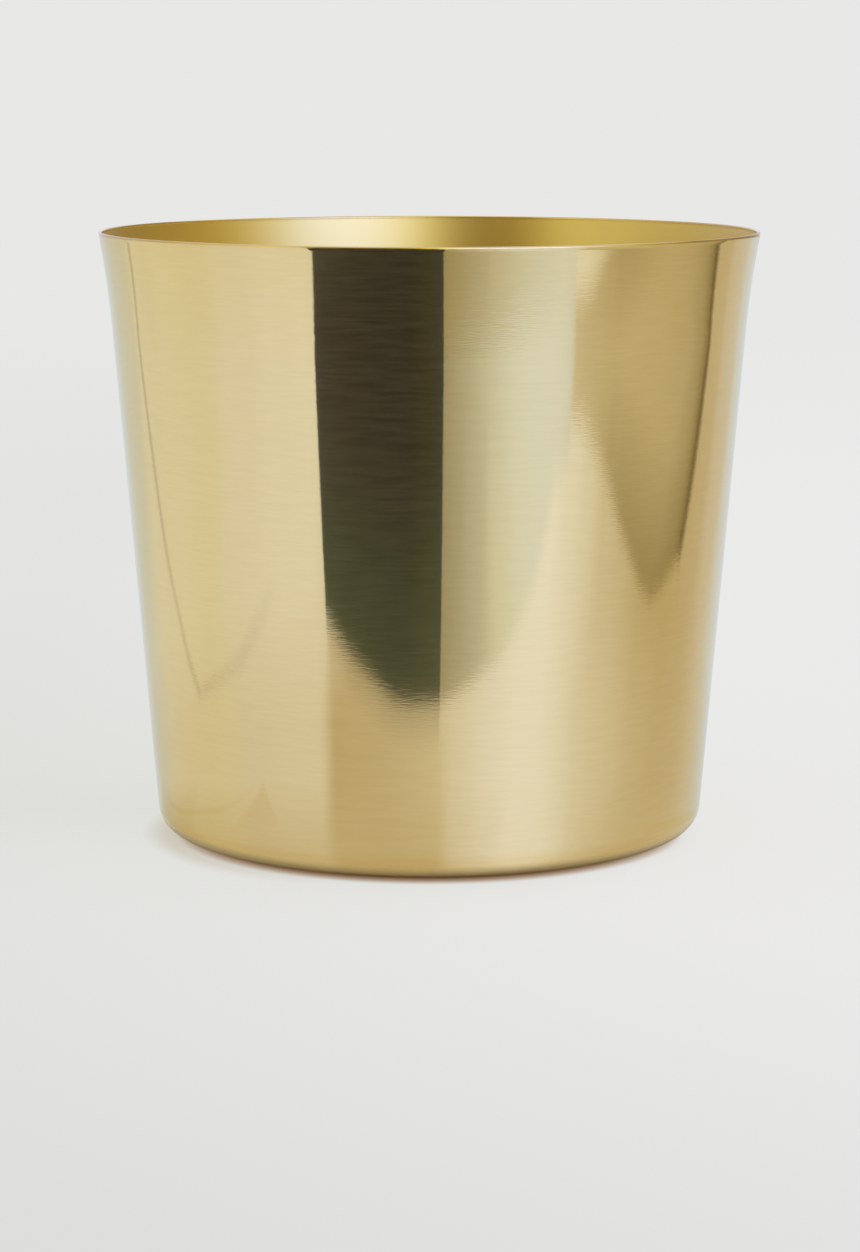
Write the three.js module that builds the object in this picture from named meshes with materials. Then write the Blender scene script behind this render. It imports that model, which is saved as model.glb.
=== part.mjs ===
// A metal plant pot: one drawn shell of brushed brass that stands on four small glued pads.
// Millimetres, +Z up. The origin is on the surface that the pot stands on, on the pot's axis.
import * as THREE from "three";

// Shell: overall size and the lean of its wall
const rimRadius = 102.5; // to the outermost point of the rim
const shellHeight = 188; // from the underside of the shell to the top of the rim
const sheet = 1; // thickness of the metal everywhere
const wallLean = THREE.MathUtils.degToRad(4.85); // of the straight wall, from the vertical

// Rim: the wall flares gently below the rim, and its last millimetre bends back upright
const flareRadius = 300;
const flareTurn = THREE.MathUtils.degToRad(5.6);
const lipRadius = 5; // to the middle of the sheet

// Base: a rounded corner, a flat ring that carries the pads and a centre panel pushed up
const cornerRadius = 8.5; // outside
const panelRise = 1.5;
const panelBendRadius = 4; // to the middle of the sheet
const ringOutsidePads = 8; // flat ring between the corner and a pad
const ringInsidePads = 3; // flat ring between a pad and the centre panel

// Pads and the adhesive that bonds them
const padCount = 4;
const padRadius = 6;
const padThickness = 1.5;
const padEdgeRadius = 0.4;
const adhesiveThickness = 0.2;
const adhesiveMargin = 0.5; // bare edge of a pad outside its adhesive

// Fineness of the round forms
const shellSegments = 80;
const padSegments = 24;
const bendSteps = 3;
const cornerSteps = 6;
const rimSteps = 4;

const shellMetal = new THREE.MeshStandardMaterial({
  color: 0xd8bd84,
  roughness: 0.24,
  metalness: 1,
});
const padRubber = new THREE.MeshStandardMaterial({
  color: 0x26241f,
  roughness: 0.85,
  metalness: 0,
});
const adhesiveFilm = new THREE.MeshStandardMaterial({
  color: 0xd9d4c3,
  roughness: 0.5,
  metalness: 0,
});

// Heights of the stack under the shell
const adhesiveBottom = padThickness;
const shellBottom = adhesiveBottom + adhesiveThickness;

// A point on the middle of the sheet, with the direction in which the sheet runs on from there.
// Headings are angles in the plane of radius and height: 0 is outwards and a quarter turn is up.
function station(radius, height, heading) {
  return { radius, height, heading };
}

// The same station, run through the other way.
function turnedBack(s) {
  return station(s.radius, s.height, s.heading - Math.PI);
}

// The stations of an arc that starts at one station and turns by an angle, left if it is positive.
function bend(start, arcRadius, turn, steps) {
  const side = Math.sign(turn);
  const centreRadius = start.radius - side * arcRadius * Math.sin(start.heading);
  const centreHeight = start.height + side * arcRadius * Math.cos(start.heading);
  const stations = [];
  for (let step = 1; step <= steps; step += 1) {
    const heading = start.heading + (turn * step) / steps;
    const radius = centreRadius + side * arcRadius * Math.sin(heading);
    const height = centreHeight - side * arcRadius * Math.cos(heading);
    stations.push(station(radius, height, heading));
  }
  return stations;
}

// The middle of the sheet, from the axis to the rim.
function sheetStations() {
  // The rim is laid out first, straight down from its round edge.
  const edge = station(rimRadius - sheet / 2, shellHeight - sheet / 2, (3 * Math.PI) / 2);
  const lip = bend(edge, lipRadius, -(wallLean + flareTurn), rimSteps);
  const flare = bend(lip.at(-1), flareRadius, flareTurn, rimSteps);
  const wallTop = flare.at(-1);

  // The corner meets the straight wall and the level ring.
  const cornerMiddle = cornerRadius - sheet / 2;
  const wallAngle = Math.PI / 2 - wallLean;
  const wallFootHeight = sheet / 2 + cornerMiddle * (1 - Math.cos(wallAngle));
  const wallFootRadius = wallTop.radius - (wallTop.height - wallFootHeight) * Math.tan(wallLean);
  const ringOuter = station(wallFootRadius - cornerMiddle * Math.sin(wallAngle), sheet / 2, 0);
  const corner = bend(ringOuter, cornerMiddle, wallAngle, cornerSteps);

  // The panel rises over two equal bends.
  const bendAngle = Math.acos(1 - panelRise / (2 * panelBendRadius));
  const bendRun = 2 * panelBendRadius * Math.sin(bendAngle);
  const ringInnerRadius = padCircleRadius(ringOuter.radius) - padRadius - ringInsidePads;
  const panelEdge = station(ringInnerRadius - bendRun, sheet / 2 + panelRise, 0);
  const fall = bend(panelEdge, panelBendRadius, -bendAngle, bendSteps);
  const level = bend(fall.at(-1), panelBendRadius, bendAngle, bendSteps);

  const centre = station(0, panelEdge.height, 0);
  const upwards = [edge, ...lip, ...flare].reverse().map(turnedBack);
  return {
    ringOuterRadius: ringOuter.radius,
    stations: [centre, panelEdge, ...fall, ...level, ringOuter, ...corner, ...upwards],
  };
}

// Where the pads lie, given where the flat ring ends at the corner.
function padCircleRadius(ringOuterRadius) {
  return ringOuterRadius - ringOutsidePads - padRadius;
}

// A point of a surface at a distance to the right of the sheet's middle, so outside or below it.
function offset(s, distance) {
  return new THREE.Vector2(
    Math.max(0, s.radius + distance * Math.sin(s.heading)),
    s.height - distance * Math.cos(s.heading),
  );
}

// A closed solid turned from an outline of radius and height that starts and ends on the axis.
function turned(outline, segments) {
  const geometry = new THREE.LatheGeometry(outline, segments);
  geometry.rotateX(Math.PI / 2);
  return geometry;
}

function shellGeometry(stations) {
  const outside = stations.map((s) => offset(s, sheet / 2));
  const inside = stations.map((s) => offset(s, -sheet / 2)).reverse();
  const top = stations.at(-1);
  const roundEdge = [];
  for (let step = 1; step < rimSteps; step += 1) {
    const angle = (Math.PI * step) / rimSteps;
    const x = top.radius + (sheet / 2) * Math.cos(angle);
    const y = top.height + (sheet / 2) * Math.sin(angle);
    roundEdge.push(new THREE.Vector2(x, y));
  }
  return turned([...outside, ...roundEdge, ...inside], shellSegments);
}

function padGeometry() {
  const outline = [new THREE.Vector2(0, 0)];
  for (let step = 0; step <= bendSteps; step += 1) {
    const angle = ((step / bendSteps) * Math.PI) / 2;
    const x = padRadius - padEdgeRadius * (1 - Math.sin(angle));
    const y = padEdgeRadius * (1 - Math.cos(angle));
    outline.push(new THREE.Vector2(x, y));
  }
  outline.push(new THREE.Vector2(padRadius, padThickness), new THREE.Vector2(0, padThickness));
  return turned(outline, padSegments);
}

function adhesiveGeometry() {
  const radius = padRadius - adhesiveMargin;
  const corners = [[0, 0], [radius, 0], [radius, adhesiveThickness], [0, adhesiveThickness]];
  return turned(corners.map(([x, y]) => new THREE.Vector2(x, y)), padSegments);
}

function named(name, geometry, material) {
  const mesh = new THREE.Mesh(geometry, material);
  mesh.name = name;
  return mesh;
}

const pot = new THREE.Group();
const { ringOuterRadius, stations } = sheetStations();

const shell = named("pot_body", shellGeometry(stations), shellMetal);
shell.position.z = shellBottom;
pot.add(shell);

for (let index = 1; index <= padCount; index += 1) {
  // The first pad stands half a step from the front, so two of them share the load there.
  const angle = ((index - 0.5) / padCount) * 2 * Math.PI;
  const foot = new THREE.Group();
  const reach = padCircleRadius(ringOuterRadius);
  foot.position.set(reach * Math.cos(angle), reach * Math.sin(angle), 0);

  const adhesive = named(`pad_adhesive_${index}`, adhesiveGeometry(), adhesiveFilm);
  adhesive.position.z = adhesiveBottom;
  foot.add(named(`foot_pad_${index}`, padGeometry(), padRubber), adhesive);
  pot.add(foot);
}

export default pot;
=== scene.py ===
import math

import bpy
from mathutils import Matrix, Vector


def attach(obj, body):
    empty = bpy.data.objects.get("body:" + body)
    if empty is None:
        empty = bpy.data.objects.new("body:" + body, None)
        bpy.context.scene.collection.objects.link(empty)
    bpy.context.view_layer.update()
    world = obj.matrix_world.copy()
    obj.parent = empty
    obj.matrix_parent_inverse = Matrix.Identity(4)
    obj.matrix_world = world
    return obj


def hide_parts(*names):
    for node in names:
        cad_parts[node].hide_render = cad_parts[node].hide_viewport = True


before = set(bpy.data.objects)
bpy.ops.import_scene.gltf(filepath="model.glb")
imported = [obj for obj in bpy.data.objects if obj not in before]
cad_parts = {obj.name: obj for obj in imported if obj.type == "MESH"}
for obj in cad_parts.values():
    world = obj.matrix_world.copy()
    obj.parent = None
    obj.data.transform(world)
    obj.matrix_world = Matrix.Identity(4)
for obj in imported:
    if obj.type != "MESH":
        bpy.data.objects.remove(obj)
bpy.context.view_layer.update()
scene = bpy.context.scene
scene.view_settings.view_transform = "Standard"

MM = 0.001

# The shell, with the sizes of its CAD node
RIM_RADIUS = 102.5 * MM
SHELL_HEIGHT = 188 * MM
SHEET = 1 * MM
WALL_LEAN = math.radians(4.85)
FLARE_RADIUS = 300 * MM
FLARE_TURN = math.radians(5.6)
LIP_RADIUS = 5 * MM
CORNER_RADIUS = 8.5 * MM
PANEL_RISE = 1.5 * MM
PANEL_BEND_RADIUS = 4 * MM
RING_OUTSIDE_PADS = 8 * MM
RING_INSIDE_PADS = 3 * MM

# The pads and their adhesive
PAD_COUNT = 4
PAD_RADIUS = 6 * MM
PAD_THICKNESS = 1.5 * MM
PAD_EDGE_RADIUS = 0.4 * MM
PAD_TOP_EDGE = 0.1 * MM
ADHESIVE_THICKNESS = 0.2 * MM
ADHESIVE_MARGIN = 0.5 * MM
ADHESIVE_EDGE = 0.05 * MM

SHELL_BOTTOM = PAD_THICKNESS + ADHESIVE_THICKNESS

# Fineness of the round forms and of the straight runs between them
SHELL_SEGMENTS = 288
PAD_SEGMENTS = 72
RIM_STEPS = 12
FLARE_STEPS = 24
WALL_STEPS = 12
CORNER_STEPS = 24
RING_STEPS = 3
PANEL_BEND_STEPS = 8
PANEL_STEPS = 6
EDGE_STEPS = 6
ON_AXIS = 1e-9

# Brushing: lines to the metre across it, and how much longer than wide a line is
BRUSH_LINES = 2200
BRUSH_STRETCH = 7
BRUSH_DETAIL = 1.5
TONE_LINES = 1300
TONE_STRETCH = 13
HAZE_SHARE = 0.10
SCATTER_SHARE = (0.015, 0.035)
REDDER_TOP_HEIGHT = 35 * MM
RELIEF = 0.1 * MM


class Station:
    """A point on the middle of the sheet and the direction in which the sheet runs on from there."""

    def __init__(self, radius, height, heading):
        self.radius = radius
        self.height = height
        self.heading = heading

    def turned_back(self):
        return Station(self.radius, self.height, self.heading - math.pi)

    def offset(self, distance):
        """A surface point at a distance to the right of the middle, so outside or below it."""
        radius = self.radius + distance * math.sin(self.heading)
        return max(0.0, radius), self.height - distance * math.cos(self.heading)

    def normal(self, side):
        return side * math.sin(self.heading), -side * math.cos(self.heading)


def bend(start, arc_radius, turn, steps):
    """The stations of an arc that starts at a station and turns by an angle, left if positive."""
    side = math.copysign(1, turn)
    centre_radius = start.radius - side * arc_radius * math.sin(start.heading)
    centre_height = start.height + side * arc_radius * math.cos(start.heading)
    stations = []
    for step in range(1, steps + 1):
        heading = start.heading + turn * step / steps
        radius = centre_radius + side * arc_radius * math.sin(heading)
        height = centre_height - side * arc_radius * math.cos(heading)
        stations.append(Station(radius, height, heading))
    return stations


def run(start, end, steps):
    """The stations between two ends of a straight run, the far end included."""
    stations = []
    for step in range(1, steps + 1):
        share = step / steps
        radius = start.radius + (end.radius - start.radius) * share
        height = start.height + (end.height - start.height) * share
        stations.append(Station(radius, height, end.heading))
    return stations


def shell_stations():
    """The middle of the sheet from the axis to the rim, and the radius where the flat ring ends."""
    edge = Station(RIM_RADIUS - SHEET / 2, SHELL_HEIGHT - SHEET / 2, 1.5 * math.pi)
    lip = bend(edge, LIP_RADIUS, -(WALL_LEAN + FLARE_TURN), RIM_STEPS)
    flare = bend(lip[-1], FLARE_RADIUS, FLARE_TURN, FLARE_STEPS)
    wall_top = flare[-1]

    corner_middle = CORNER_RADIUS - SHEET / 2
    wall_angle = math.pi / 2 - WALL_LEAN
    foot_height = SHEET / 2 + corner_middle * (1 - math.cos(wall_angle))
    foot_radius = wall_top.radius - (wall_top.height - foot_height) * math.tan(WALL_LEAN)
    ring_outer = Station(foot_radius - corner_middle * math.sin(wall_angle), SHEET / 2, 0)
    corner = bend(ring_outer, corner_middle, wall_angle, CORNER_STEPS)

    bend_angle = math.acos(1 - PANEL_RISE / (2 * PANEL_BEND_RADIUS))
    bend_run = 2 * PANEL_BEND_RADIUS * math.sin(bend_angle)
    ring_inner = pad_circle(ring_outer.radius) - PAD_RADIUS - RING_INSIDE_PADS
    panel_edge = Station(ring_inner - bend_run, SHEET / 2 + PANEL_RISE, 0)
    fall = bend(panel_edge, PANEL_BEND_RADIUS, -bend_angle, PANEL_BEND_STEPS)
    level = bend(fall[-1], PANEL_BEND_RADIUS, bend_angle, PANEL_BEND_STEPS)

    centre = Station(0, panel_edge.height, 0)
    upwards = [s.turned_back() for s in reversed([edge, *lip, *flare])]
    stations = [centre, *run(centre, panel_edge, PANEL_STEPS), *fall, *level]
    stations += run(level[-1], ring_outer, RING_STEPS) + corner
    stations += run(corner[-1], upwards[0], WALL_STEPS) + upwards[1:]
    return stations, ring_outer.radius


def pad_circle(ring_outer_radius):
    """The radius on which the pads lie, given where the flat ring ends."""
    return ring_outer_radius - RING_OUTSIDE_PADS - PAD_RADIUS


def turned(name, outline, segments, place):
    """A closed body turned round Z from (radius, height, normal, material) points, axis to axis.
    Each ring keeps the outline's own normal, so that reflections run smoothly over the facets."""
    vertices = []
    normals = []
    rings = []
    for radius, height, normal, _ in outline:
        if radius < ON_AXIS:
            rings.append([len(vertices)] * segments)
            vertices.append((0, 0, height))
            normals.append((0, 0, math.copysign(1, normal[1])))
            continue
        ring = []
        for step in range(segments):
            angle = 2 * math.pi * step / segments
            x, y = math.cos(angle), math.sin(angle)
            ring.append(len(vertices))
            vertices.append((radius * x, radius * y, height))
            normals.append((normal[0] * x, normal[0] * y, normal[1]))
        rings.append(ring)

    faces = []
    slots = []
    for index in range(len(rings) - 1):
        lower, upper = rings[index], rings[index + 1]
        for step in range(segments):
            after = (step + 1) % segments
            corners = [lower[step], lower[after], upper[after], upper[step]]
            faces.append(list(dict.fromkeys(corners)))
            slots.append(outline[index][3])

    mesh = bpy.data.meshes.new(name)
    moved = [Vector(v) + Vector(place) for v in vertices]
    mesh.from_pydata(moved, [], faces)
    mesh.polygons.foreach_set("material_index", slots)
    mesh.polygons.foreach_set("use_smooth", [True] * len(faces))
    mesh.normals_split_custom_set_from_vertices([Vector(n).normalized() for n in normals])
    piece = bpy.data.objects.new(name, mesh)
    scene.collection.objects.link(piece)
    return piece


def build_shell(stations):
    """The pot's shell: material 0 is its outside and rim, material 1 its inside."""
    outline = [(*s.offset(SHEET / 2), s.normal(1), 0) for s in stations]
    top = stations[-1]
    for step in range(1, RIM_STEPS):
        angle = math.pi * step / RIM_STEPS
        normal = (math.cos(angle), math.sin(angle))
        radius = top.radius + SHEET / 2 * normal[0]
        height = top.height + SHEET / 2 * normal[1]
        outline.append((radius, height, normal, 0))
    inside = [(*s.offset(-SHEET / 2), s.normal(-1), 1) for s in reversed(stations)]
    return turned("pot_shell", outline + inside, SHELL_SEGMENTS, (0, 0, SHELL_BOTTOM))


def edge_arc(radius, height, size, start):
    """A quarter round of an outline, from one angle to a quarter turn more, with its normals."""
    points = []
    for step in range(EDGE_STEPS + 1):
        angle = start + math.pi / 2 * step / EDGE_STEPS
        normal = (math.cos(angle), math.sin(angle))
        points.append((radius + size * normal[0], height + size * normal[1], normal, 0))
    return points


def build_disc(name, radius, thickness, lower_edge, upper_edge, place):
    """A flat round disc with small rounded edges."""
    outline = [(0, 0, (0, -1), 0)]
    outline += edge_arc(radius - lower_edge, lower_edge, lower_edge, -math.pi / 2)
    outline += edge_arc(radius - upper_edge, thickness - upper_edge, upper_edge, 0)
    outline.append((0, thickness, (0, 1), 0))
    return turned(name, outline, PAD_SEGMENTS, place)


class Nodes:
    """Adds nodes to a material or world and links them in one call."""

    def __init__(self, owner):
        owner.use_nodes = True
        self.tree = owner.node_tree
        self.tree.nodes.clear()

    def add(self, kind, settings=None, **inputs):
        node = self.tree.nodes.new(kind)
        for name, value in (settings or {}).items():
            setattr(node, name, value)
        for name, value in inputs.items():
            self.put(node, name, value)
        return node

    def put(self, node, name, value):
        socket = node.inputs[int(name[1:])] if name[0] == "_" else node.inputs[name.replace("_", " ")]
        if isinstance(value, bpy.types.NodeSocket):
            self.tree.links.new(value, socket)
        else:
            socket.default_value = value

    def math(self, operation, first, second=0.0):
        return self.add("ShaderNodeMath", {"operation": operation}, _0=first, _1=second).outputs[0]

    def ramp(self, value, low, high, low_result, high_result):
        """A value that runs evenly from one result to another between two limits."""
        node = self.add("ShaderNodeMapRange", Value=value, From_Min=low, From_Max=high)
        self.put(node, "To_Min", low_result)
        self.put(node, "To_Max", high_result)
        return node.outputs[0]

    def blend(self, share, first, second, kind="MIX"):
        """A colour between two others, or the first one times the second by a share."""
        settings = {"data_type": "RGBA", "blend_type": kind}
        node = self.add("ShaderNodeMix", settings, _0=share, _6=first, _7=second)
        return node.outputs[2]

    def noise(self, scale, detail):
        """Cloudy noise that is fixed to the piece."""
        place = self.add("ShaderNodeTexCoord").outputs["Object"]
        return self.add("ShaderNodeTexNoise", Vector=place, Scale=scale, Detail=detail).outputs["Fac"]


def streaks(nodes, count_across, stretch, detail=0.0):
    """Noise in long fine lines, level round the wall and circles on the level faces, and the
    height on the piece."""
    place = nodes.add("ShaderNodeTexCoord").outputs["Object"]
    parts = nodes.add("ShaderNodeSeparateXYZ", _0=place)
    x, y, z = parts.outputs
    square = nodes.math("ADD", nodes.math("MULTIPLY", x, x), nodes.math("MULTIPLY", y, y))
    across = nodes.math("ADD", z, nodes.math("SQRT", square))
    along = count_across / stretch
    spot = nodes.add(
        "ShaderNodeCombineXYZ",
        _0=nodes.math("MULTIPLY", x, along),
        _1=nodes.math("MULTIPLY", y, along),
        _2=nodes.math("MULTIPLY", across, count_across),
    ).outputs[0]
    noise = nodes.add("ShaderNodeTexNoise", Vector=spot, Scale=1.0, Detail=detail, Roughness=0.6)
    return noise.outputs["Fac"], z


def brushed_brass():
    """Brass with fine level brush lines, a little redder and darker towards the rim."""
    material = bpy.data.materials.new("brushed_brass_outside")
    nodes = Nodes(material)
    lines, height = streaks(nodes, BRUSH_LINES, BRUSH_STRETCH, BRUSH_DETAIL)
    bump = nodes.add("ShaderNodeBump", Strength=0.09, Distance=RELIEF, Height=lines).outputs[0]
    tangent = nodes.add("ShaderNodeTangent", {"direction_type": "RADIAL", "axis": "Z"}).outputs[0]
    lines, _ = streaks(nodes, TONE_LINES, TONE_STRETCH)
    lines = nodes.ramp(lines, 0.3, 0.7, 0.0, 1.0)
    tint = nodes.blend(lines, (0.788, 0.620, 0.277, 1), (0.812, 0.640, 0.291, 1))
    top = SHELL_BOTTOM + SHELL_HEIGHT
    # The tint is a little redder and darker over the top of the wall.
    toward_rim = nodes.ramp(height, top - REDDER_TOP_HEIGHT, top, 0.0, 1.0)
    tint = nodes.blend(toward_rim, tint, (0.98, 0.95, 0.84, 1), "MULTIPLY")
    brass = nodes.add(
        "ShaderNodeBsdfPrincipled",
        Base_Color=tint,
        Metallic=1.0,
        Roughness=0.04,
        Anisotropic=1.0,
        Anisotropic_Rotation=0.25,
        Normal=bump,
        Tangent=tangent,
    )
    haze = nodes.add(
        "ShaderNodeBsdfAnisotropic",
        {"distribution": "GGX"},
        Color=(0.80, 0.70, 0.45, 1),
        Roughness=0.18,
        Anisotropy=0.93,
        Tangent=tangent,
    )
    scatter = nodes.add("ShaderNodeBsdfDiffuse", Color=(0.80, 0.68, 0.42, 1))
    both = nodes.add("ShaderNodeMixShader", _0=HAZE_SHARE, _1=brass.outputs[0], _2=haze.outputs[0])
    share = nodes.ramp(lines, 0.0, 1.0, *SCATTER_SHARE)
    both = nodes.add("ShaderNodeMixShader", _0=share, _1=both.outputs[0], _2=scatter.outputs[0])
    nodes.add("ShaderNodeOutputMaterial", Surface=both.outputs[0])
    return material


def satin_brass():
    """The inside: the same sheet, blasted to an even satin."""
    material = bpy.data.materials.new("satin_brass_inside")
    nodes = Nodes(material)
    grain = nodes.noise(2600.0, 3.0)
    cloud = nodes.noise(30.0, 2.0)
    bump = nodes.add("ShaderNodeBump", Strength=0.08, Distance=RELIEF, Height=grain).outputs[0]
    tint = nodes.blend(cloud, (0.79, 0.61, 0.195, 1), (0.83, 0.65, 0.22, 1))
    brass = nodes.add(
        "ShaderNodeBsdfPrincipled",
        Base_Color=tint,
        Metallic=1.0,
        Roughness=nodes.ramp(grain, 0.0, 1.0, 0.30, 0.40),
        Normal=bump,
    )
    nodes.add("ShaderNodeOutputMaterial", Surface=brass.outputs[0])
    return material


def pad_rubber():
    """Soft black rubber with a faint grain."""
    material = bpy.data.materials.new("pad_rubber_grain")
    nodes = Nodes(material)
    grain = nodes.noise(1800.0, 4.0)
    bump = nodes.add("ShaderNodeBump", Strength=0.3, Distance=RELIEF, Height=grain).outputs[0]
    rubber = nodes.add(
        "ShaderNodeBsdfPrincipled",
        Base_Color=nodes.blend(grain, (0.014, 0.013, 0.011, 1), (0.026, 0.024, 0.020, 1)),
        Roughness=nodes.ramp(grain, 0.0, 1.0, 0.7, 0.95),
        Normal=bump,
    )
    nodes.add("ShaderNodeOutputMaterial", Surface=rubber.outputs[0])
    return material


def adhesive_film():
    """Milky double-sided film."""
    material = bpy.data.materials.new("adhesive_film_milky")
    nodes = Nodes(material)
    cloud = nodes.noise(700.0, 3.0)
    tint = nodes.blend(cloud, (0.60, 0.56, 0.46, 1), (0.72, 0.68, 0.58, 1))
    film = nodes.add("ShaderNodeBsdfPrincipled", Base_Color=tint, Roughness=0.5)
    nodes.add("ShaderNodeOutputMaterial", Surface=film.outputs[0])
    return material


def fitted(piece, node, slot, *materials):
    """Puts a piece in the place of its CAD node."""
    for material in materials:
        piece.data.materials.append(material)
    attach(piece, "root")
    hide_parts(node)


def build_pot():
    """The shell on its four pads, each with its adhesive disc."""
    stations, ring_outer_radius = shell_stations()
    fitted(build_shell(stations), "pot_body", "brushed_brass", brushed_brass(), satin_brass())

    rubber = pad_rubber()
    film = adhesive_film()
    reach = pad_circle(ring_outer_radius)
    film_radius = PAD_RADIUS - ADHESIVE_MARGIN
    for index in range(1, PAD_COUNT + 1):
        turn = (index - 0.5) / PAD_COUNT * 2 * math.pi
        x, y = reach * math.cos(turn), reach * math.sin(turn)
        edges = (PAD_EDGE_RADIUS, PAD_TOP_EDGE)
        pad = build_disc(f"rubber_disc_{index}", PAD_RADIUS, PAD_THICKNESS, *edges, (x, y, 0))
        fitted(pad, f"foot_pad_{index}", "pad_rubber", rubber)
        place = (x, y, PAD_THICKNESS)
        edges = (ADHESIVE_EDGE, ADHESIVE_EDGE)
        bond = build_disc(f"bond_disc_{index}", film_radius, ADHESIVE_THICKNESS, *edges, place)
        fitted(bond, f"pad_adhesive_{index}", "adhesive_film", film)


# Camera, at the photograph's place: a little above the rim and straight in front
FOCAL_PIXELS = 3693.6
IMAGE_HEIGHT = 1252
SENSOR = 36
CAMERA_PLACE = (0.00023, -1.15302, 0.24391)
CAMERA_PITCH = 8.811


def place_camera():
    data = bpy.data.cameras.new("camera")
    data.sensor_fit = "VERTICAL"
    data.sensor_width = SENSOR
    data.sensor_height = SENSOR
    data.lens = SENSOR * FOCAL_PIXELS / IMAGE_HEIGHT
    camera = bpy.data.objects.new("camera", data)
    camera.location = CAMERA_PLACE
    camera.rotation_euler = (math.radians(90 - CAMERA_PITCH), 0, 0)
    scene.collection.objects.link(camera)
    scene.camera = camera


# Tones of the studio: the backdrop, the floor's painted tone in shade, and the floor in full light
PALE = (0.807, 0.807, 0.795)
SHADED = (0.70, 0.71, 0.69)
WHITE = (0.84, 0.84, 0.83)

# The floor, and how far from the pot's axis its changes lie
FLOOR_RADIUS = 3.0
FLOOR_SEGMENTS = 64
FLOOR_FADE = (0.9, 2.2)
EVEN_SHARE = 0.85
CONTACT_SHADOW = (71 * MM, 81 * MM)
WARM_LIGHT = (74.5 * MM, 80.5 * MM)
WARM_SPILL = (84 * MM, 91 * MM)
UNDERSIDE = (66 * MM, 69 * MM)

# Limits of the floor's painted shades to the right (x) and away from the camera (y)
LIGHT_FALL_X = (-0.17, 0.17)
LIGHT_FALL_Y = (-0.42, -0.12)
SPILL_X = (-0.08, -0.03)
BAND_X = (-0.05, 0.05)
BAND_START_Y = (-0.035, 0.035)
BAND_END_Y = (0.05, 0.55)


def floor_tone(nodes, x, y, radius, warm):
    """The floor's tone for the camera, with the faint shades and warm light painted on it."""
    # Painted fall-off of light: the tone is a little darker to the left and towards the camera.
    right = nodes.ramp(x, *LIGHT_FALL_X, 0.0, 0.65)
    back = nodes.ramp(y, *LIGHT_FALL_Y, 0.0, 0.55)
    tone = nodes.blend(nodes.math("ADD", right, back), (*SHADED, 1), (*WHITE, 1))
    # A faint band of painted shade lies to the left of the pot.
    start = nodes.ramp(y, *BAND_START_Y, 0.0, 1.0)
    end = nodes.ramp(y, *BAND_END_Y, 1.0, 0.0)
    band = nodes.math("MULTIPLY", start, end)
    band = nodes.math("MULTIPLY", band, nodes.ramp(x, *BAND_X, 1.0, 0.1))
    tone = nodes.blend(band, tone, (0.95, 0.952, 0.94, 1), "MULTIPLY")
    # On the left a painted spill of the brass's warm light runs out past the corner.
    spill = nodes.ramp(radius, *WARM_SPILL, 1.0, 0.0)
    spill = nodes.math("MULTIPLY", spill, nodes.ramp(x, *SPILL_X, 1.0, 0.0))
    tone = nodes.blend(spill, tone, (0.84, 0.79, 0.69, 1), "MULTIPLY")
    # Close under the base the tone is painted with the brass's warm light.
    return nodes.blend(warm, tone, (0.93, 0.65, 0.42, 1), "MULTIPLY")


def floor_paper():
    """Pale paper that passes into the backdrop's tone far out and is clear from below."""
    material = bpy.data.materials.new("floor_paper")
    nodes = Nodes(material)
    place = nodes.add("ShaderNodeNewGeometry").outputs
    rays = nodes.add("ShaderNodeLightPath").outputs
    x, y, _ = nodes.add("ShaderNodeSeparateXYZ", _0=place["Position"]).outputs
    length = nodes.add("ShaderNodeVectorMath", {"operation": "LENGTH"}, _0=place["Position"])
    radius = length.outputs["Value"]
    # Close under the base the paper's colour is painted with the brass's warm light.
    warm = nodes.ramp(radius, *WARM_LIGHT, 1.0, 0.0)
    white = nodes.blend(warm, (*WHITE, 1), (0.78, 0.55, 0.35, 1))
    paper = nodes.add("ShaderNodeBsdfDiffuse", Color=white).outputs[0]
    # Outside the contact shadow the camera sees mostly the even tone.
    tone = floor_tone(nodes, x, y, radius, warm)
    pale = nodes.add("ShaderNodeEmission", Color=tone, Strength=1.0).outputs[0]
    even = nodes.ramp(radius, *CONTACT_SHADOW, 0.0, EVEN_SHARE)
    even = nodes.math("MULTIPLY", rays["Is Camera Ray"], even)
    paper = nodes.add("ShaderNodeMixShader", _0=even, _1=paper, _2=pale).outputs[0]
    # The underside mirrors the backdrop instead of the dark gap that it stands over.
    under = nodes.ramp(radius, *UNDERSIDE, 1.0, 0.0)
    under = nodes.math("MULTIPLY", rays["Is Glossy Ray"], under)
    fade = nodes.ramp(radius, *FLOOR_FADE, 0.0, 1.0)
    share = nodes.math("MAXIMUM", nodes.math("MAXIMUM", fade, under), place["Backfacing"])
    clear = nodes.add("ShaderNodeBsdfTransparent").outputs[0]
    both = nodes.add("ShaderNodeMixShader", _0=share, _1=paper, _2=clear)
    nodes.add("ShaderNodeOutputMaterial", Surface=both.outputs[0])
    return material


def studio_floor():
    corners = []
    for step in range(FLOOR_SEGMENTS):
        angle = 2 * math.pi * step / FLOOR_SEGMENTS
        corners.append((FLOOR_RADIUS * math.cos(angle), FLOOR_RADIUS * math.sin(angle), 0))
    mesh = bpy.data.meshes.new("floor")
    mesh.from_pydata(corners, [], [list(range(FLOOR_SEGMENTS))])
    mesh.materials.append(floor_paper())
    floor = bpy.data.objects.new("floor", mesh)
    scene.collection.objects.link(floor)


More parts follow.
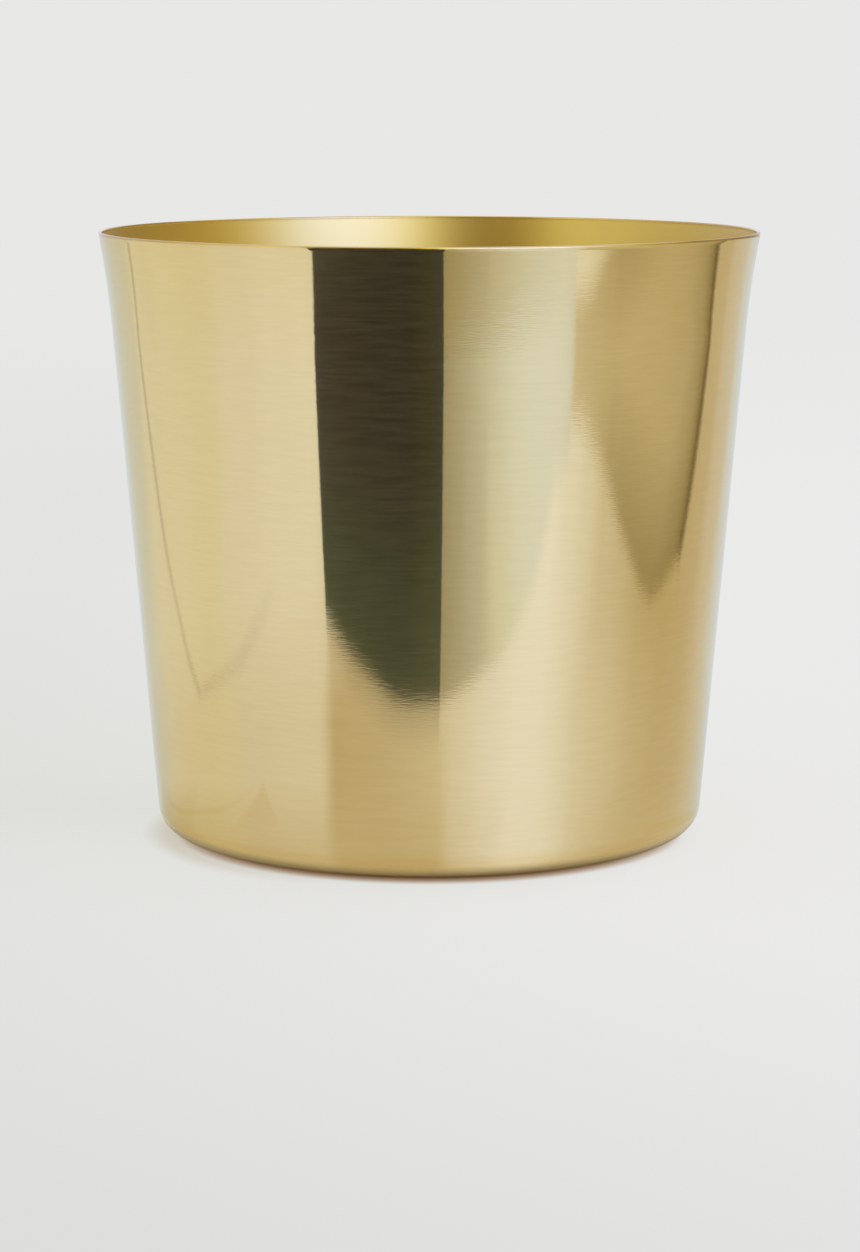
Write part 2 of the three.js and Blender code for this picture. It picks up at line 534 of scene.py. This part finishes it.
def studio_world():
    """The backdrop's tone for the camera and reflections, and the even part of the light."""
    world = bpy.data.worlds.new("studio")
    scene.world = world
    nodes = Nodes(world)
    rays = nodes.add("ShaderNodeLightPath").outputs
    seen = nodes.math("MAXIMUM", rays["Is Camera Ray"], rays["Is Glossy Ray"])
    seen = nodes.math("MAXIMUM", seen, rays["Is Transmission Ray"])
    even = nodes.add("ShaderNodeBackground", Color=(1.0, 0.985, 0.96, 1), Strength=0.80).outputs[0]
    backdrop = nodes.add("ShaderNodeBackground", Color=(*PALE, 1), Strength=1.0).outputs[0]
    both = nodes.add("ShaderNodeMixShader", _0=seen, _1=even, _2=backdrop)
    nodes.add("ShaderNodeOutputWorld", Surface=both.outputs[0])


def floor_point(azimuth, radius):
    """A floor point; azimuth 0 is the camera's side and 90 the right."""
    turn = math.radians(azimuth)
    return radius * math.sin(turn), -radius * math.cos(turn)


def lamp(name, azimuth, elevation, distance, size, radiance):
    """A square softbox that faces the pot and that reflections don't show."""
    rise = math.radians(elevation)
    data = bpy.data.lights.new(name, "AREA")
    data.shape = "SQUARE"
    data.size = size
    data.energy = math.pi * size * size * radiance
    softbox = bpy.data.objects.new(name, data)
    x, y = floor_point(azimuth, distance * math.cos(rise))
    place = Vector((x, y, distance * math.sin(rise)))
    softbox.location = place
    softbox.rotation_euler = (-place).to_track_quat("-Z", "Y").to_euler()
    softbox.visible_glossy = False
    scene.collection.objects.link(softbox)


def mixed(low, high, level):
    return [a + (b - a) * level for a, b in zip(low, high)]


def card(name, rows):
    """A glowing card that only reflections show, on rows of (place, colour, cover) corners."""
    mesh = bpy.data.meshes.new(name)
    corners = [corner for row in rows for corner in row]
    count = len(rows[0])
    faces = []
    for row in range(len(rows) - 1):
        for i in range(row * count, row * count + count - 1):
            faces.append((i, i + 1, i + 1 + count, i + count))
    mesh.from_pydata([place for place, _, _ in corners], [], faces)
    glow = mesh.color_attributes.new("glow", "FLOAT_COLOR", "POINT")
    for index, (_, colour, cover) in enumerate(corners):
        glow.data[index].color = (*colour, cover)
    piece = bpy.data.objects.new(name, mesh)
    scene.collection.objects.link(piece)
    material = bpy.data.materials.new(name)
    nodes = Nodes(material)
    glow_node = nodes.add("ShaderNodeVertexColor", {"layer_name": "glow"})
    bounces = nodes.add("ShaderNodeLightPath").outputs["Diffuse Depth"]
    first = nodes.math("LESS_THAN", bounces, 0.5)
    cover = nodes.math("MULTIPLY", glow_node.outputs["Alpha"], first)
    clear = nodes.add("ShaderNodeBsdfTransparent").outputs[0]
    light = nodes.add("ShaderNodeEmission", Color=glow_node.outputs["Color"]).outputs[0]
    both = nodes.add("ShaderNodeMixShader", _0=cover, _1=clear, _2=light)
    nodes.add("ShaderNodeOutputMaterial", Surface=both.outputs[0])
    mesh.materials.append(material)
    piece.visible_camera = False
    piece.visible_diffuse = False
    piece.visible_shadow = False
    piece.visible_transmission = False
    piece.visible_volume_scatter = False


# The cards' far radius and their heights over the floor, in millimetres
CARD_REACH = 2600
CARD_LIFT = 0.6
GLOW_LIFT = 0.3
LINE_LIFT = 0.9

# Distance from a card's near edge in millimetres and its cover there, where it has a skirt
SKIRT_STEPS = ((-1, 0.3), (0, 0.75), (8, 1))
# Radius that the glow's distances start from, in millimetres, just outside the base's corner
GLOW_RADIUS = 88
# In the painted floor reflection, behind the pot the floor gives back a little less red, and on its
# left a little less blue.
BACK_DIRECTION = 140
BACK_RED = 0.91
LEFT_DIRECTION = -90
LEFT_BLUE = 0.88
# Close to the pot the painted floor reflection takes the brass's warm light.
CLOSE_TINT = (0.96, 0.90, 0.76)
# Distance from the pot's foot in millimetres, which of the three levels it takes, and its cover
GLOW_ROWS = (
    (-7, 0, 0),
    (0, 0, 1),
    (25, 0, 1),
    (85, 1, 1),
    (140, 1, 1),
    (300, 2, 1),
    (2800, 2, 1),
)
# Direction in which the wall looks, and the level that it sees at the foot, near it and farther out
GLOW_STOPS = (
    (-179, 0.35, 0.40, 0.50),
    (-152, 0.05, 0.32, 0.42),
    (-130, 0.05, 0.47, 0.65),
    (-112, 0.22, 0.49, 0.71),
    (-95, 0.25, 0.51, 0.67),
    (-78, 0.20, 0.52, 0.74),
    (-60, 0.27, 0.57, 0.84),
    (-44.7, 0.30, 0.60, 0.88),
    (-38.3, 0.10, 0.03, 0.70),
    (-20, 0.08, 0.12, 0.40),
    (2.7, 0.14, 0.32, 0.50),
    (8.3, 0.42, 0.57, 0.60),
    (20, 0.68, 0.82, 0.80),
    (32.6, 0.98, 1.03, 1.05),
    (45, 0.95, 1.02, 1.12),
    (53, 0.80, 0.86, 0.93),
    (60, 0.57, 0.66, 0.74),
    (68, 0.42, 0.54, 0.40),
    (78, 0.28, 0.40, 0.25),
    (88, 0.20, 0.22, 0.05),
    (104, 0.15, 0.08, -0.05),
    (121, 0.20, 0.10, 0.05),
    (133, 0.25, 0.22, 0.25),
    (150, 0.35, 0.38, 0.50),
    (179, 0.35, 0.40, 0.50),
)


def lying_card(name, fade, corners, skirt=0):
    """A card on the floor, from near points (x, y) outwards to a far azimuth at CARD_REACH, in
    millimetres. The near tone passes into the far tone over the fade distance, and a skirt lets
    the card's shade run on thinly towards the pot."""
    steps = [(0, 1), (fade, 1), (CARD_REACH, 1)]
    if skirt:
        steps = [(-skirt, 0), *SKIRT_STEPS, *steps[1:]]
    rows = [[] for _ in steps]
    for (x, y), azimuth, near_tone, far_tone in corners:
        near = Vector((x, y))
        outwards = (Vector(floor_point(azimuth, CARD_REACH)) - near).normalized()
        for row, (distance, cover) in zip(rows, steps):
            spot = near + outwards * distance
            tone = far_tone if distance >= fade else near_tone
            row.append(((spot.x * MM, spot.y * MM, CARD_LIFT * MM), tone, cover))
    card(name, rows)


def standing_card(name, radius, heights, columns):
    """A card that stands round the pot's axis, on columns of (azimuth, tone, cover), at heights of
    (millimetres, share of the cover)."""
    rows = []
    for height, share in heights:
        row = []
        for azimuth, tone, cover in columns:
            x, y = floor_point(azimuth, radius)
            row.append(((x * MM, y * MM, height * MM), tone, cover * share))
        rows.append(row)
    card(name, rows)


def floor_glow():
    """A painted reflection of the floor on a glowing card: how bright the pot sees the floor, by the
    direction in which its wall looks, with levels at the pot's foot, near it and farther out."""
    warm = (0.63, 0.56, 0.45)
    cool = (0.96, 1.04, 1.40)
    rows = []
    for distance, stage, cover in GLOW_ROWS:
        row = []
        for direction, *levels in GLOW_STOPS:
            from_x, from_y = floor_point(direction / 2, GLOW_RADIUS)
            x, y = floor_point(direction, distance)
            place = ((from_x + x) * MM, (from_y + y) * MM, GLOW_LIFT * MM)
            tone = mixed(warm, cool, levels[stage])
            if abs(direction) > BACK_DIRECTION:
                tone[0] *= BACK_RED
            elif direction < LEFT_DIRECTION:
                tone[2] *= LEFT_BLUE
            if distance <= 0:
                tone = [part * share for part, share in zip(tone, CLOSE_TINT)]
            row.append((place, tone, cover))
        rows.append(row)
    card("floor_glow", rows)


def floor_line(name, tone, points):
    """A thin faint line on the floor through points of (x, y, width, cover) in millimetres."""
    rows = [[], []]
    for index, (x, y, width, cover) in enumerate(points):
        before = points[max(index - 1, 0)]
        after = points[min(index + 1, len(points) - 1)]
        along = Vector((after[0] - before[0], after[1] - before[1])).normalized()
        for row, side in zip(rows, (-0.5, 0.5)):
            edge_x = x - along.y * width * side
            edge_y = y + along.x * width * side
            row.append(((edge_x * MM, edge_y * MM, LINE_LIFT * MM), tone, cover))
    card(name, rows)


def dark_card():
    """What the dark stripe mirrors: a dark card in front, darkest at its far right."""
    dark_near = (0.034, 0.056, 0.038)
    dark_far = (0.016, 0.014, 0.012)
    # Near point, azimuth of the far end, and the shares of the near and the far tone
    corners = []
    for place, azimuth, near_share, far_share in (
        ((-196, -280), -40.9, 1.2, 1.7),
        ((-160, -273), -33.4, 1.2, 1.7),
        ((-131, -266), -25.8, 1.15, 1.4),
        ((-88, -257), -18.3, 1.05, 1.0),
        ((-49, -244), -10.7, 1.0, 0.9),
        ((-24, -244), -3.2, 1.0, 0.4),
        ((14.5, -246), 5.3, 1.0, 0.2),
    ):
        near = [near_share * part for part in dark_near]
        far = [far_share * part for part in dark_far]
        corners.append((place, azimuth, near, far))
    lying_card("dark_card", 300, corners, 45)


def front_card():
    """What the pale area beside the stripe mirrors."""
    # Near point, azimuth of the far end, the tone's share at the near end, and the tone
    corners = []
    for place, azimuth, near_share, tone in (
        ((14.5, -246), 5.3, 0.98, (0.38, 0.37, 0.33)),
        ((70, -261), 10.8, 1.04, (0.52, 0.54, 0.54)),
        ((116, -268), 17.1, 1.17, (0.67, 0.73, 0.80)),
        ((187, -295), 23.5, 1.06, (0.80, 0.92, 1.20)),
        ((254, -326), 29.9, 1.0, (0.85, 0.99, 1.38)),
        ((364, -386), 40.0, 1.0, (0.86, 0.99, 1.40)),
        ((426, -381), 51.0, 1.0, (0.79, 0.90, 1.25)),
        ((440, -391), 54.6, 1.0, (0.75, 0.80, 0.95)),
    ):
        near = [near_share * part for part in tone]
        corners.append((place, azimuth, near, tone))
    lying_card("front_card", 400, corners)


def side_card():
    """What the tan shape on the right mirrors, with painted shade along its last edge."""
    deep = (0.36, 0.31, 0.19)
    tan = (0.66, 0.62, 0.54)
    # Near point, azimuth of the far end, and how far the two ends are from deep to tan
    corners = []
    for place, azimuth, near_level, far_level in (
        ((484, -420), 54.6, 1.15, 1.15),
        ((517, -384), 57.0, 0.95, 1.1),
        ((524, -357), 58.5, 0.90, 1.09),
        ((513, -322), 61.0, 0.82, 1.07),
        ((507, -274), 64.5, 0.62, 1.05),
        ((493, -233), 68.5, 0.36, 1.03),
        ((456, -173), 75.5, 0.16, 1.0),
        ((418, -108), 83.0, 0.08, 0.95),
        ((388, -64), 91.0, 0.02, 0.9),
        ((379, -28), 102.0, -0.02, 0.8),
        ((430, 48), 114.6, -0.1, 0.4),
        ((446, 78), 119.2, -0.3, 0.0),
    ):
        corners.append((place, azimuth, mixed(deep, tan, near_level), mixed(deep, tan, far_level)))
    # Painted shade along the card's last edge
    edge_shade = (0.12, 0.08, 0.03)
    corners.append(((458, 102), 122.8, edge_shade, edge_shade))
    lying_card("side_card", 300, corners)


def inside_view():
    """What the inside mirrors, far out above the floor."""
    # Azimuth and tone
    columns = (
        (-180, (0.90, 0.92, 1.10)),
        (-150, (0.62, 0.62, 0.80)),
        (-110, (0.62, 0.57, 0.48)),
        (-75, (0.75, 0.70, 0.52)),
        (-56, (0.92, 0.88, 0.62)),
        (-46, (0.85, 0.76, 0.42)),
        (-38, (0.26, 0.18, 0.01)),
        (-14, (0.18, 0.11, 0.0)),
        (-7, (0.35, 0.26, 0.0)),
        (0, (1.00, 0.87, 0.05)),
        (8, (1.38, 1.50, 1.6)),
        (20, (1.38, 1.62, 3.6)),
        (44, (1.34, 1.64, 3.8)),
        (54, (1.05, 1.20, 2.1)),
        (66, (0.84, 0.80, 0.45)),
        (82, (0.58, 0.44, 0.12)),
        (100, (0.42, 0.32, 0.10)),
        (145, (0.32, 0.25, 0.16)),
        (180, (0.90, 0.92, 1.10)),
    )
    standing = [(azimuth, tone, 1) for azimuth, tone in columns]
    standing_card("inside_view", CARD_REACH, [(0, 1), (2200, 1)], standing)


# The amber veil's radius and top, in millimetres
VEIL_RADIUS = 214
VEIL_TOP = 147


def amber_veil():
    """A thin glowing amber card near the rim's height that only reflections show: a painted amber
    veil in the wall's reflection, soft along its lower edge.
    """
    amber = (0.37, 0.29, 0.03)
    # Azimuth, height in millimetres and cover
    lower_edge = (
        (3.9, 130.6, 0.35),
        (12, 131.4, 0.33),
        (22, 132.6, 0.26),
        (31, 134.6, 0.14),
        (39, 136.6, 0),
    )
    rows = [[], [], []]
    for azimuth, bottom, cover in lower_edge:
        x, y = floor_point(azimuth, VEIL_RADIUS)
        for row, height, share in zip(rows, (bottom - 0.8, bottom + 0.4, VEIL_TOP), (0, 1, 1)):
            row.append(((x * MM, y * MM, height * MM), amber, cover * share))
    card("amber_veil", rows)


def thin_lines():
    """The two thin curved lines, one on each side of the pot."""
    floor_line(
        "right_line",
        (0.06, 0.04, 0.01),
        [
            (451, 100, 13, 0.6),
            (560, 184, 19, 0.6),
            (711, 302, 27, 0.6),
            (842, 398, 31, 0.6),
            (1048, 550, 36, 0.5),
            (1510, 888, 46, 0.4),
        ],
    )
    floor_line(
        "left_line",
        (0.20, 0.17, 0.10),
        [
            (-1300, 1010, 42, 0.36),
            (-893, 621, 33, 0.36),
            (-648, 377, 24, 0.36),
            (-444, 177, 14, 0.33),
            (-355, 86, 9, 0.33),
            (-292, 33, 7, 0.33),
            (-252, -4, 9, 0.33),
            (-264, -42, 16, 0.18),
            (-272, -104, 16, 0.17),
            (-299, -173, 14, 0.14),
            (-324, -247, 10, 0.0),
        ],
    )


def foot_shades():
    """Painted shade, faint and yellow, close round the foot, on glowing lines that only reflections
    show.
    """
    floor_line(
        "left_shade",
        (0.56, 0.36, 0.04),
        [
            (-120, 28, 5, 0.0),
            (-114, 14, 5, 0.12),
            (-112, -10, 6, 0.16),
            (-116, -34, 6, 0.16),
            (-118, -58, 6, 0.12),
            (-125, -77, 5, 0.06),
            (-130, -92, 4, 0.0),
        ],
    )
    floor_line(
        "point_shade",
        (0.60, 0.44, 0.12),
        [
            (-127, -95, 2, 0.22),
            (-113, -88, 14, 0.2),
            (-99, -81, 28, 0.12),
            (-87, -74, 36, 0.0),
        ],
    )
    floor_line(
        "right_shade",
        (0.64, 0.56, 0.05),
        [
            (96, 20, 10, 0.0),
            (99, 4, 12, 0.2),
            (100, -20, 12, 0.25),
            (98, -44, 12, 0.15),
            (97, -62, 10, 0.0),
        ],
    )


build_pot()
place_camera()
studio_floor()
studio_world()
lamp("key_softbox", azimuth=120, elevation=50, distance=1.9, size=1.2, radiance=1.2)
floor_glow()
dark_card()
front_card()
side_card()
inside_view()
amber_veil()
thin_lines()
foot_shades()
